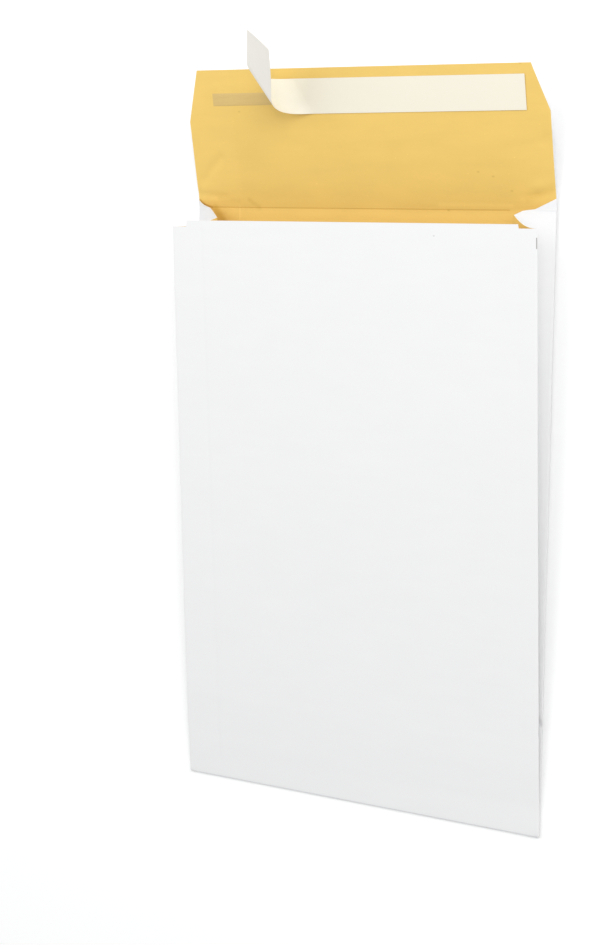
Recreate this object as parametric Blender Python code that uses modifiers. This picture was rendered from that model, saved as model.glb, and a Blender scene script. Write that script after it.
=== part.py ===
"""Gusseted mailing envelope, open, lying on its back.

Three pieces: one folded paper sheet, a band of pressure-sensitive adhesive on the inside of its flap, and
the release liner that covers the band, peeled up at its left end.

Metres. X runs across the envelope, Y from its bottom fold towards the flap, and Z up. The origin is the
centre of the back panel's outer face, which lies on the ground.
"""

import math

import bmesh
import bpy
from mathutils import Vector

# Envelope: outer sizes of the C4 format, with a side gusset that opens into a wedge.
WIDTH = 0.229
LENGTH = 0.324  # bottom fold to the flap's crease
MOUTH = 0.317  # bottom fold to the front panel's cut edge
MOUTH_OPENING = 0.0237  # front panel above the back panel, at the mouth
GUSSET = 0.023  # half of the side gusset, from a panel's fold to the inner fold
SHEET = 0.00025
FOLD_RADIUS = 0.0002  # of the sheet's middle, in a fold pressed flat

# Throat: where the sheet was cut between the front panel and the flap.
NOTCH_WIDTH = 0.0093
NOTCH_DEPTH = 0.0026
NOTCH_SLOPE = 0.0004  # run of the notch's side across the panel
INNER_FOLD_TOP = 0.3215
THROAT_RISE = 0.008  # the gusset's end above the crease, at the back fold

# Flap, measured up its own slope from the crease.
FLAP = 0.0768
FLAP_TILT = math.radians(12)
FLAP_KINK = 0.0495
FLAP_KINK_HALF = 0.1137
FLAP_TOP_HALF = 0.1048

# Adhesive band and release liner, on the inside of the flap.
GAP = 0.0003  # between pieces that rest on each other
BAND_LENGTH = 0.191
BAND_LOW, BAND_HIGH = 0.0568, 0.0638
BAND_THICKNESS = 0.00015
LINER_RIGHT, LINER_LEFT = 0.101, -0.0977
LINER_LOW, LINER_HIGH = 0.0516, 0.0712
LINER_THICKNESS = 0.0002

# The liner bends round a slanting line, which crosses its lower edge at PEEL_START. Its free end straightens.
PEEL_START = -0.0279
PEEL_SLANT = math.radians(60.2)  # of the bend's axis, from the liner's length
PEEL_TURN = math.radians(150.6)  # at the lower edge
PEEL_TWIST = 2.4  # further turn for each metre along the axis
PEEL_RADIUS = 0.0105  # at the lower edge
PEEL_WIDENING = 0.036  # of the radius for each metre along the axis
FREE_CURVATURE = -6.3  # of the free end

# Fineness of the meshes.
PANEL_STEPS, GUSSET_STEPS, FOLD_STEPS = 8, 6, 4
BODY_ROWS = 12
FLAP_ROWS_BELOW_KINK, FLAP_ROWS_ABOVE_KINK = 3, 2
LINER_STEP = 0.0022
LINER_LYING_STEPS = 8

FLATTENED = 6 * FOLD_RADIUS  # front panel above the back panel where all layers lie flat
PANEL_HALF = WIDTH / 2 - SHEET / 2 - FOLD_RADIUS  # flat half-width, to the start of the side folds
GUSSET_FLAT = GUSSET - 2 * FOLD_RADIUS


def mix(start, end, share):
    return start + (end - start) * share


def steps(start, end, count):
    """count + 1 evenly spaced numbers from start to end."""
    return [mix(start, end, i / count) for i in range(count + 1)]


def clear_scene():
    for obj in list(bpy.data.objects):
        bpy.data.objects.remove(obj, do_unlink=True)


def make_collection(name):
    collection = bpy.data.collections.new(name)
    bpy.context.scene.collection.children.link(collection)
    return collection


def make_material(name, colour, roughness):
    material = bpy.data.materials.new(name)
    material.use_nodes = True
    shader = material.node_tree.nodes["Principled BSDF"]
    shader.inputs["Base Color"].default_value = (*colour, 1)
    shader.inputs["Roughness"].default_value = roughness
    shader.inputs["Metallic"].default_value = 0
    return material


def make_object(name, mesh_builder, material, collection):
    """A new object that holds the bmesh, which is freed."""
    mesh = bpy.data.meshes.new(name)
    mesh_builder.to_mesh(mesh)
    mesh_builder.free()
    mesh.materials.append(material)
    obj = bpy.data.objects.new(name, mesh)
    collection.objects.link(obj)
    return obj


def thicken(obj, thickness):
    """Gives the open surface its thickness, half to each side."""
    solidify = obj.modifiers.new("thickness", "SOLIDIFY")
    solidify.thickness = thickness
    solidify.offset = 0
    solidify.use_even_offset = True


def loft(builder, rows):
    """Quads between neighbouring rows of vertices. A row may be shorter than the row before it."""
    for low, high in zip(rows, rows[1:]):
        for i in range(min(len(low), len(high)) - 1):
            builder.faces.new((low[i], low[i + 1], high[i + 1], high[i]))


# ---------------------------------------------------------------- the folded sheet


def panel_half_positions():
    """X of the panel's columns, from the middle to the side fold, with one pair at the notch's side."""
    notch = WIDTH / 2 - NOTCH_WIDTH
    inner = steps(0, notch - NOTCH_SLOPE, PANEL_STEPS)
    outer = steps(notch, PANEL_HALF, 2)
    return inner + outer


def front_height(y):
    """Middle of the front panel above the middle of the back panel, y from the bottom fold."""
    return mix(FLATTENED, MOUTH_OPENING, y / MOUTH)


def gusset_slope(height):
    """Slope of a gusset half from the panels, where the front panel is that high."""
    slope = 0.0
    for _ in range(20):
        rise = height / 2 - FOLD_RADIUS - 2 * FOLD_RADIUS * math.cos(slope)
        slope = math.asin(max(rise, 0) / GUSSET_FLAT)
    return slope


def turn(position, heading, angle):
    """Points of a fold from position, turning the heading by angle, and the position and heading after it."""
    side = math.copysign(1, angle)
    centre = position + side * FOLD_RADIUS * Vector((-math.sin(heading), math.cos(heading)))
    points = []
    for part in steps(0, angle, FOLD_STEPS)[1:]:
        now = heading + part
        points.append(centre + side * FOLD_RADIUS * Vector((math.sin(now), -math.cos(now))))
    return points, points[-1], heading + angle


def straight(position, heading, length, count):
    step = length / count * Vector((math.cos(heading), math.sin(heading)))
    return [position + step * (i + 1) for i in range(count)]


def half_section(height):
    """(x, z) of each column of the sheet's middle: back panel, gusset folded inwards, front panel."""
    slope = gusset_slope(height)
    across = panel_half_positions()
    points = [Vector((x, 0)) for x in across]
    fold, position, heading = turn(points[-1], 0, math.pi - slope)
    points += fold
    points += straight(position, heading, GUSSET_FLAT, GUSSET_STEPS)
    fold, position, heading = turn(points[-1], heading, 2 * slope - math.pi)
    points += fold
    points += straight(position, heading, GUSSET_FLAT, GUSSET_STEPS)
    points += turn(points[-1], heading, math.pi - slope)[0]
    points += [Vector((x, points[-1].y)) for x in reversed(across[:-1])]
    return points


def column_tops():
    """How far up each column of the section runs before the throat's cut, in the order of half_section."""
    back = LENGTH + THROAT_RISE
    front_fold = MOUTH - NOTCH_DEPTH
    across = panel_half_positions()
    tops = [back] * (len(across) + FOLD_STEPS)
    tops += steps(back, INNER_FOLD_TOP, GUSSET_STEPS)[1:]
    tops += [INNER_FOLD_TOP] * FOLD_STEPS
    tops += steps(INNER_FOLD_TOP, front_fold, GUSSET_STEPS)[1:]
    tops += [front_fold] * FOLD_STEPS
    notch = WIDTH / 2 - NOTCH_WIDTH
    tops += [front_fold if x >= notch else MOUTH for x in reversed(across[:-1])]
    return tops


def in_place(x, along, z):
    """The point in the object's frame. along is from the bottom fold, and bends up past the crease."""
    past = max(along - LENGTH, 0)
    y = min(along, LENGTH) + past * math.cos(FLAP_TILT) - LENGTH / 2
    return Vector((x, y, SHEET / 2 + z + past * math.sin(FLAP_TILT)))


def flap_half_width(up):
    """Half of the flap's width at a distance up from the crease."""
    if up < FLAP_KINK:
        return mix(PANEL_HALF, FLAP_KINK_HALF, (up - THROAT_RISE) / (FLAP_KINK - THROAT_RISE))
    return mix(FLAP_KINK_HALF, FLAP_TOP_HALF, (up - FLAP_KINK) / (FLAP - FLAP_KINK))


def add_body_rows(builder):
    """The rows of the gusseted tube, from the bottom fold up to the throat."""
    tops = column_tops()
    crease = LENGTH / (LENGTH + THROAT_RISE)
    shares = steps(0, crease, BODY_ROWS) + [1]
    rows = []
    for share in shares:
        row = []
        for column, top in enumerate(tops):
            along = share * top
            x, z = half_section(front_height(along))[column]
            row.append(builder.verts.new(in_place(x, along, z)))
        rows.append(row)
    return rows


def add_flap_rows(builder, throat_row):
    """The rows of the flap, which go on from the back panel's part of the throat's row."""
    across = panel_half_positions()
    rows = [throat_row[: len(across)]]
    ups = steps(THROAT_RISE, FLAP_KINK, FLAP_ROWS_BELOW_KINK)[1:]
    ups += steps(FLAP_KINK, FLAP, FLAP_ROWS_ABOVE_KINK)[1:]
    for up in ups:
        narrowing = flap_half_width(up) / PANEL_HALF
        rows.append([builder.verts.new(in_place(x * narrowing, LENGTH + up, 0)) for x in across])
    return rows


def add_bottom_fold(builder, first_row):
    """The rows of the fold that joins the front panel's lower end to the back panel's."""
    across = panel_half_positions()
    back = first_row[: len(across)]
    front = list(reversed(first_row[-len(across):]))
    radius = FLATTENED / 2
    rows = [front]
    for angle in steps(0, math.pi, FOLD_STEPS)[1:-1]:
        height, out = radius * (1 + math.cos(angle)), radius * math.sin(angle)
        rows.append([builder.verts.new(in_place(x, -out, height)) for x in across])
    rows.append(back)
    return rows


def build_envelope(material, collection):
    """The right half of the sheet's middle surface, mirrored and given its thickness."""
    builder = bmesh.new()
    body = add_body_rows(builder)
    loft(builder, body)
    loft(builder, add_flap_rows(builder, body[-1]))
    loft(builder, add_bottom_fold(builder, body[0]))
    bmesh.ops.recalc_face_normals(builder, faces=builder.faces)
    obj = make_object("envelope_body", builder, material, collection)
    mirror = obj.modifiers.new("left half", "MIRROR")
    mirror.use_clip = True
    mirror.merge_threshold = 0.00001
    thicken(obj, SHEET)
    return obj


# ---------------------------------------------------------------- what is on the flap


def on_flap(x, up, height):
    """A point over the inside of the flap, up its slope from the crease and height above its face."""
    lift = SHEET / 2 + height
    y = LENGTH / 2 + up * math.cos(FLAP_TILT) - lift * math.sin(FLAP_TILT)
    return Vector((x, y, SHEET / 2 + up * math.sin(FLAP_TILT) + lift * math.cos(FLAP_TILT)))


def build_band(material, collection):
    """The adhesive: a thin flat band along the flap."""
    builder = bmesh.new()
    bmesh.ops.create_cube(builder, size=1)
    bmesh.ops.scale(builder, vec=(BAND_LENGTH, BAND_HIGH - BAND_LOW, BAND_THICKNESS), verts=builder.verts)
    obj = make_object("flap_adhesive", builder, material, collection)
    obj.location = on_flap(0, (BAND_LOW + BAND_HIGH) / 2, GAP + BAND_THICKNESS / 2)
    obj.rotation_euler.x = FLAP_TILT
    return obj


def peel_profile(distance, on_axis):
    """How far on and how high the liner is, at a distance past the line where its bend starts."""
    radius = PEEL_RADIUS + PEEL_WIDENING * on_axis
    whole = PEEL_TURN + PEEL_TWIST * on_axis
    turned = min(max(distance / radius, 0), whole)
    lying = min(distance, 0)
    free = max(distance - radius * whole, 0)
    swept = whole + FREE_CURVATURE * free
    onward = lying + radius * math.sin(turned) + (math.sin(swept) - math.sin(whole)) / FREE_CURVATURE
    height = radius * (1 - math.cos(turned)) + (math.cos(whole) - math.cos(swept)) / FREE_CURVATURE
    return onward, height


def liner_point(x, up):
    """Where a point of the flat liner has come to, once its left end is peeled up."""
    axis = Vector((-math.cos(PEEL_SLANT), math.sin(PEEL_SLANT)))
    across = Vector((-math.sin(PEEL_SLANT), -math.cos(PEEL_SLANT)))
    start = Vector((PEEL_START, LINER_LOW))
    offset = Vector((x, up)) - start
    onward, height = peel_profile(offset.dot(across), offset.dot(axis))
    flat = start + axis * offset.dot(axis) + across * onward
    rest = GAP + BAND_THICKNESS + GAP + LINER_THICKNESS / 2
    return on_flap(flat.x, flat.y, rest + height)


def build_liner(material, collection):
    """The release liner: a paper strip, flat on the band and bent up round a slanting line at its end."""
    lying = steps(LINER_RIGHT, PEEL_START + LINER_STEP, LINER_LYING_STEPS)
    count = round((PEEL_START - LINER_LEFT) / LINER_STEP)
    peeled = steps(PEEL_START, LINER_LEFT, count)
    ups = steps(LINER_LOW, LINER_HIGH, round((LINER_HIGH - LINER_LOW) / LINER_STEP))
    builder = bmesh.new()
    rows = [[builder.verts.new(liner_point(x, up)) for up in ups] for x in lying + peeled]
    loft(builder, rows)
    bmesh.ops.recalc_face_normals(builder, faces=builder.faces)
    obj = make_object("release_liner", builder, material, collection)
    thicken(obj, LINER_THICKNESS)
    return obj


def main():
    clear_scene()
    collection = make_collection("gusseted_envelope")
    paper = make_material("white_kraft_paper", (0.90, 0.91, 0.92), 0.75)
    adhesive = make_material("clear_adhesive", (0.62, 0.52, 0.33), 0.35)
    liner = make_material("silicone_paper", (0.93, 0.89, 0.78), 0.55)
    build_envelope(paper, collection)
    build_band(adhesive, collection)
    build_liner(liner, collection)


main()
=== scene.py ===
"""Looks of the gusseted mailing envelope: one folded paper sheet, its adhesive band and its release liner.

Metres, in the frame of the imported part: X across the envelope, Y from its bottom fold towards the flap, and
Z up. The back panel lies on the ground, its middle at the origin.
"""

import logging
import math
from dataclasses import dataclass, field
from enum import Enum

import bmesh
import bpy
from mathutils import Matrix, Vector


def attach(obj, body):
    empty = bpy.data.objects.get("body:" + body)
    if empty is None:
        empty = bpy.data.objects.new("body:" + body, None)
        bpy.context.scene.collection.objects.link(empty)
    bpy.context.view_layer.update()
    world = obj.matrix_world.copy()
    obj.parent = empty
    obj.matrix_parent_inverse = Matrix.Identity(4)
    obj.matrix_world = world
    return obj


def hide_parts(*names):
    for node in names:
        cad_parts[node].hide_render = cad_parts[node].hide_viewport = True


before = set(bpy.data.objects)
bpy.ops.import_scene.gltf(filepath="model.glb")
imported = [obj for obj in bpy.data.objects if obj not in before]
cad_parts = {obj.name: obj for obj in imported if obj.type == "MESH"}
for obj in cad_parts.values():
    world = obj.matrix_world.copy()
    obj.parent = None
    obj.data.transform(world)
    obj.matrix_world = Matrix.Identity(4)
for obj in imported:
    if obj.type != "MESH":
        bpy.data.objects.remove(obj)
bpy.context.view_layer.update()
BODY = "root"
LOG = logging.getLogger("envelope")

Triple = tuple[float, float, float]
Colour = Triple
Pair = tuple[float, float]
Socket = bpy.types.NodeSocket
Tree = bpy.types.NodeTree
Paints = list[bpy.types.Material]
Verts = list[bmesh.types.BMVert]
Feed = Socket | Vector | tuple | float


class Side(Enum):
    """Side of the envelope, with the sign of its X."""

    RIGHT = 1
    LEFT = -1


class Part(Enum):
    """Stretch of the folded sheet that a point belongs to."""

    BACK = "back panel"
    GUSSET = "side gusset"
    FRONT = "front panel"
    FLAP = "flap"


class Shell(Enum):
    """Material slots of the thick sheet."""

    OUTSIDE = 0
    INSIDE = 1
    EDGE = 2


def mix(start: float, end: float, share: float) -> float:
    """Returns the value at that share of the way from start to end."""
    return start + (end - start) * share


def steps(start: float, end: float, count: int) -> list[float]:
    """Returns count + 1 evenly spaced numbers from start to end."""
    return [mix(start, end, i / count) for i in range(count + 1)]


def smooth(value: float, low: float, high: float) -> float:
    """Returns 0 below low, 1 above high, and an eased share between them."""
    share = min(max((value - low) / (high - low), 0.0), 1.0)
    return share * share * (3 - 2 * share)


def read_curve(points: tuple[Pair, ...], at: float) -> float:
    """Reads a curve given by a few points.

    Args:
        points: (position, value) pairs in rising order of position.
        at: The position to read.

    Returns:
        The value there, in straight lines between the points.
    """
    for (low, start), (high, end) in zip(points, points[1:]):
        if at <= high:
            return mix(start, end, (max(at, low) - low) / (high - low))
    return points[-1][1]


# ------------------------------------------------------------------ node trees


class Graph:
    """A node tree under construction, whose nodes are fed with numbers, vectors or other nodes' sockets."""

    def __init__(self, tree: Tree) -> None:
        """Keeps the tree that the nodes go into."""
        self.tree = tree

    def node(self, kind: str, settings: dict | None = None, **inputs: Feed) -> bpy.types.Node:
        """Adds a node.

        Args:
            kind: The node's type name.
            settings: Its own properties.
            **inputs: What feeds its sockets, by socket name with _ for a space.

        Returns:
            The new node.
        """
        node = self.tree.nodes.new(kind)
        for name, value in (settings or {}).items():
            setattr(node, name, value)
        for name, value in inputs.items():
            self.feed(node.inputs[name.replace("_", " ")], value)
        return node

    def feed(self, socket: Socket, value: Feed) -> None:
        """Links a socket, or sets the value of an open one."""
        if isinstance(value, Socket):
            self.tree.links.new(value, socket)
        else:
            socket.default_value = value

    def math(self, operation: str, *values: Feed, clamp: bool = False) -> Socket:
        """Adds a Math node on the values and returns its result."""
        node = self.node("ShaderNodeMath", {"operation": operation, "use_clamp": clamp})
        for socket, value in zip(node.inputs, values):
            self.feed(socket, value)
        return node.outputs[0]

    def vector(self, operation: str, *values: Feed, output: str = "Vector") -> Socket:
        """Adds a Vector Math node on the values and returns its result."""
        node = self.node("ShaderNodeVectorMath", {"operation": operation})
        for socket, value in zip(node.inputs, values):
            self.feed(socket, value)
        return node.outputs[output]

    def scaled(self, vector: Feed, scale: Feed) -> Socket:
        """Returns the vector times a number."""
        node = self.node("ShaderNodeVectorMath", {"operation": "SCALE"}, Vector=vector, Scale=scale)
        return node.outputs["Vector"]

    def grey(self, value: Feed) -> Socket:
        """Returns the vector or colour that has the value three times."""
        return self.node("ShaderNodeCombineXYZ", X=value, Y=value, Z=value).outputs[0]

    def along_z(self, value: Feed) -> Socket:
        """Returns the vector that points up Z by the value."""
        return self.node("ShaderNodeCombineXYZ", Z=value).outputs[0]

    def group(self, tree: Tree, **inputs: Feed) -> dict[str, Socket]:
        """Places a shader group, fed as a node is, and returns its outputs by name."""
        return dict(self.node("ShaderNodeGroup", {"node_tree": tree}, **inputs).outputs.items())

    def dressed(self, geometry: Socket, finish: Socket) -> Socket:
        """Ends a Geometry Nodes tree: returns the geometry made real, in its finish."""
        real = self.node("GeometryNodeRealizeInstances", Geometry=geometry).outputs[0]
        return self.node("GeometryNodeSetMaterial", Geometry=real, Material=finish).outputs[0]

    def noise(self, coordinates: Feed, scale: float, detail: float = 2.0) -> Socket:
        """Returns soft noise around 0, about -0.5 to 0.5."""
        node = self.node("ShaderNodeTexNoise", Vector=coordinates, Scale=scale, Detail=detail)
        return self.math("SUBTRACT", node.outputs[0], 0.5)

    def fade(self, value: Feed, low: Feed, high: Feed, start: float = 0.0, end: float = 1.0) -> Socket:
        """Returns start below low, end above high, and an eased change between them."""
        node = self.node("ShaderNodeMapRange", {"interpolation_type": "SMOOTHSTEP"})
        for socket, number in zip(node.inputs, (value, low, high, start, end)):
            self.feed(socket, number)
        return node.outputs[0]

    def blend(self, share: Feed, first: Feed, second: Feed, kind: str = "MIX") -> Socket:
        """Mixes two colours.

        Args:
            share: How much of the second colour's effect shows.
            first: The colour underneath.
            second: The colour on top.
            kind: Blender's name of the way they mix.

        Returns:
            The mixed colour's socket.
        """
        node = self.node("ShaderNodeMix", {"data_type": "RGBA", "blend_type": kind})
        sockets = [s for s in node.inputs if s.enabled]
        for socket, value in zip(sockets, (share, first, second)):
            self.feed(socket, (*value, 1.0) if isinstance(value, tuple) and len(value) == 3 else value)
        return next(s for s in node.outputs if s.enabled)


def new_group(
    name: str, kind: str, inputs: dict[str, str], outputs: dict[str, str]
) -> tuple[Graph, dict, dict]:
    """Starts a node group.

    Args:
        name: The group's name.
        kind: The type of its tree.
        inputs: Type of each input socket, by name, as Blender calls it after NodeSocket.
        outputs: The same of each output socket.

    Returns:
        The graph to build in, the group's inputs by name, and the sockets that lead to its outputs.
    """
    tree = bpy.data.node_groups.new(name, kind)
    for direction, sockets in (("INPUT", inputs), ("OUTPUT", outputs)):
        for label, socket_type in sockets.items():
            tree.interface.new_socket(name=label, in_out=direction, socket_type="NodeSocket" + socket_type)
    graph = Graph(tree)
    first, last = tree.nodes.new("NodeGroupInput"), tree.nodes.new("NodeGroupOutput")
    return graph, {k: first.outputs[k] for k in inputs}, {k: last.inputs[k] for k in outputs}


class Groups:
    """The shader effects that several finishes share, each built once."""

    def __init__(self) -> None:
        """Builds the groups."""
        self.fibre = self.build_fibre()
        self.specks = self.build_specks()
        self.line = self.build_line()

    def build_fibre(self) -> Tree:
        """Builds paper's cloudy formation and its felted fibres, and returns the group."""
        graph, given, result = new_group(
            "paper fibre",
            "ShaderNodeTree",
            {"Position": "Vector", "Cloud": "Float", "Felt": "Float"},
            {"Tone": "Float", "Height": "Float"},
        )
        position = given["Position"]
        streaked = graph.vector("MULTIPLY", position, (0.22, 1.0, 1.0))
        cloud = graph.noise(position, 48.0, 3.0)
        drift = graph.noise(streaked, 150.0, 2.0)
        felt = graph.noise(streaked, 2600.0, 3.0)
        clouds = graph.math("ADD", graph.math("MULTIPLY", drift, 1.2), cloud)
        tone = graph.math("MULTIPLY", clouds, given["Cloud"])
        graph.feed(result["Tone"], graph.math("MULTIPLY_ADD", felt, given["Felt"], tone))
        grain = graph.math("MULTIPLY_ADD", graph.noise(position, 900.0, 3.0), 1.4, felt)
        graph.feed(result["Height"], grain)
        return graph.tree

    def build_specks(self) -> Tree:
        """Builds the odd fibre bundle that shows in a pulp, and returns the group."""
        graph, given, result = new_group(
            "fibre specks",
            "ShaderNodeTree",
            {"Position": "Vector", "Scale": "Float", "Share": "Float"},
            {"Mask": "Float"},
        )
        stretched = graph.vector("MULTIPLY", given["Position"], (0.6, 1.0, 1.0))
        cells = graph.node("ShaderNodeTexVoronoi", Vector=stretched, Scale=given["Scale"])
        chosen = graph.node("ShaderNodeSeparateXYZ", Vector=cells.outputs["Color"])
        picked = graph.math("LESS_THAN", chosen.outputs[0], given["Share"])
        spot = graph.fade(cells.outputs["Distance"], 0.02, 0.14, 1.0, 0.0)
        graph.feed(result["Mask"], graph.math("MULTIPLY", spot, picked))
        return graph.tree

    def build_line(self) -> Tree:
        """Builds the soft mask round a straight line in space, and returns the group."""
        graph, given, result = new_group(
            "soft line mask",
            "ShaderNodeTree",
            {"Position": "Vector", "Start": "Vector", "End": "Vector", "Width": "Float"},
            {"Mask": "Float"},
        )
        run = graph.vector("SUBTRACT", given["End"], given["Start"])
        reach = graph.vector("SUBTRACT", given["Position"], given["Start"])
        onward = graph.vector("DOT_PRODUCT", reach, run, output="Value")
        length = graph.vector("DOT_PRODUCT", run, run, output="Value")
        share = graph.math("DIVIDE", onward, length, clamp=True)
        away = graph.vector("DISTANCE", reach, graph.scaled(run, share), output="Value")
        graph.feed(result["Mask"], graph.fade(away, 0.0, given["Width"], 1.0, 0.0))
        return graph.tree


def new_material(name: str) -> tuple[bpy.types.Material, Graph, dict, Socket]:
    """Starts a material.

    Args:
        name: The material's name.

    Returns:
        The material, its graph, its shader's inputs and the position on the piece.
    """
    material = bpy.data.materials.new(name)
    material.use_nodes = True
    graph = Graph(material.node_tree)
    inputs = material.node_tree.nodes["Principled BSDF"].inputs
    return material, graph, inputs, graph.node("ShaderNodeTexCoord").outputs["Object"]


@dataclass(frozen=True)
class Mark:
    """A soft line from start to end that tints the finish and stands out from it: painted shade or a painted
    highlight along a crease, wrinkle, cut or slit, a painted shadow, a speck, or a whitened strip.

    Attributes:
        start: One end, in space.
        end: The other end.
        width: From its middle to where it fades out.
        tint: What the colour is multiplied by in its middle.
        height: How far it stands out of the surface, below 0 for a groove.
    """

    start: Vector
    end: Vector
    width: float
    tint: Colour
    height: float = 0.0


@dataclass(frozen=True)
class PaperFinish:
    """One face of a paper.

    Attributes:
        name: The material's name.
        colour: Its colour in linear light.
        roughness: How dull it is.
        cloud: Strength of its cloudy formation.
        felt: Strength of its fibres' tone.
        grain: Depth of its fibres.
        specks: Share of the cells that hold a speck, and the specks' tint.
        marks: The soft lines tinted into it: painted shade and highlights along creases, wrinkles, cuts and a
            slit, a painted shadow, specks and whitened strips.
        seam: X of the glued seam, left of which the sheet is double, or None.
        seam_blur: Half of the seam's soft edge.
        double_tint: What the colour is multiplied by where the sheet is double.
        speck_sizes: Cells to a metre of the darker and of the lighter specks.
        dulling: How much duller the raised fibres are.
        shine: The surface's specular level.
    """

    name: str
    colour: Colour
    roughness: float
    cloud: float
    felt: float
    grain: float
    specks: tuple[float, Colour] = (0.0, (1.0, 1.0, 1.0))
    marks: tuple[Mark, ...] = ()
    seam: float | None = None
    seam_blur: float = 0.0012
    double_tint: Colour = (1.012, 1.012, 1.03)
    speck_sizes: Pair = (170.0, 420.0)
    dulling: float = 0.08
    shine: float = 0.3

    def material(self, groups: Groups) -> bpy.types.Material:
        """Builds the material.

        Args:
            groups: The shared shader groups.

        Returns:
            The new material.
        """
        material, graph, shader, position = new_material(self.name)
        fibre = graph.group(groups.fibre, Position=position, Cloud=self.cloud, Felt=self.felt)
        grey = graph.grey(graph.math("ADD", fibre["Tone"], 1.0))
        colour = graph.vector("MULTIPLY", grey, self.colour)
        height = graph.math("MULTIPLY", fibre["Height"], self.grain)
        if self.seam is not None:
            across = graph.node("ShaderNodeSeparateXYZ", Vector=position).outputs["X"]
            double = graph.fade(across, self.seam - self.seam_blur, self.seam + self.seam_blur, 1.0, 0.0)
            colour = graph.blend(double, colour, self.double_tint, "MULTIPLY")
        share, tint = self.specks
        if share:
            for scale, strength in zip(self.speck_sizes, (tint, tuple(2 - t for t in tint))):
                specks = graph.group(groups.specks, Position=position, Scale=scale, Share=share)
                colour = graph.blend(specks["Mask"], colour, strength, "MULTIPLY")
        # Each mark multiplies the colour along its line: mostly painted shade or highlight, also specks and
        # whitening.
        for mark in self.marks:
            line = graph.group(
                groups.line, Position=position, Start=mark.start, End=mark.end, Width=mark.width
            )
            colour = graph.blend(line["Mask"], colour, mark.tint, "MULTIPLY")
            if mark.height:
                height = graph.math("MULTIPLY_ADD", line["Mask"], mark.height, height)
        bump = graph.node("ShaderNodeBump", Height=height, Strength=1.0, Distance=1.0)
        graph.feed(shader["Base Color"], colour)
        dull = graph.math("MULTIPLY_ADD", fibre["Height"], self.dulling, self.roughness, clamp=True)
        graph.feed(shader["Roughness"], dull)
        graph.feed(shader["Normal"], bump.outputs[0])
        shader["Specular IOR Level"].default_value = self.shine
        return material


@dataclass(frozen=True)
class AdhesiveFinish:
    """The tacky film, which takes on the kraft's tone and pattern and has a dull shine.

    Attributes:
        name: The material's name.
        colour: Its colour in linear light.
        felt: Strength of the kraft's fibres in it.
        streak: Strength of its coating's streaks.
        roughness: How dull it is where the coat is thin and where it is thick.
        ripple: Depth of the coat's streaks.
    """

    name: str = "adhesive_film"
    colour: Colour = (0.638, 0.452, 0.158)
    felt: float = 0.05
    streak: float = 0.10
    roughness: Pair = (0.38, 0.55)
    ripple: float = 0.00006

    def material(self, groups: Groups) -> bpy.types.Material:
        """Builds the material.

        Args:
            groups: The shared shader groups.

        Returns:
            The new material.
        """
        material, graph, shader, position = new_material(self.name)
        fibre = graph.group(groups.fibre, Position=position, Cloud=self.felt, Felt=self.felt)
        coat = graph.noise(graph.vector("MULTIPLY", position, (0.10, 1.0, 1.0)), 900.0, 2.0)
        tone = graph.math("ADD", graph.math("MULTIPLY_ADD", coat, self.streak, 1.0), fibre["Tone"])
        graph.feed(shader["Base Color"], graph.vector("MULTIPLY", graph.grey(tone), self.colour))
        graph.feed(shader["Roughness"], graph.fade(coat, -0.3, 0.3, *self.roughness))
        bump = graph.node("ShaderNodeBump", Height=coat, Strength=0.5, Distance=self.ripple)
        graph.feed(shader["Normal"], bump.outputs[0])
        return material


# ------------------------------------------------------------------ the envelope's form


@dataclass(frozen=True)
class Throat:
    """How the sheet was cut at one side, between the front panel and the flap.

    Attributes:
        notch: From the side fold to the notch's inner end.
        mouth: The front panel's cut edge beside the notch, from the bottom fold.
        floor: The notch's own cut edge.
        tip: The inner fold's end.
        bow: How the front half of the gusset runs from the floor to the tip, as a power of its share.
        back: (share of the back half from the back fold, end from the bottom fold) along the cut.
        lift: (along, height) that the back fold has risen off the ground.
        inner: How much further in than its width gives the inner fold lies.
        kink: Where the flap's side turns in: up from the crease, and its distance from the middle.
    """

    notch: float
    mouth: float
    floor: float
    tip: float
    bow: float
    back: tuple[Pair, ...]
    lift: tuple[Pair, ...]
    inner: float
    kink: Pair


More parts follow.
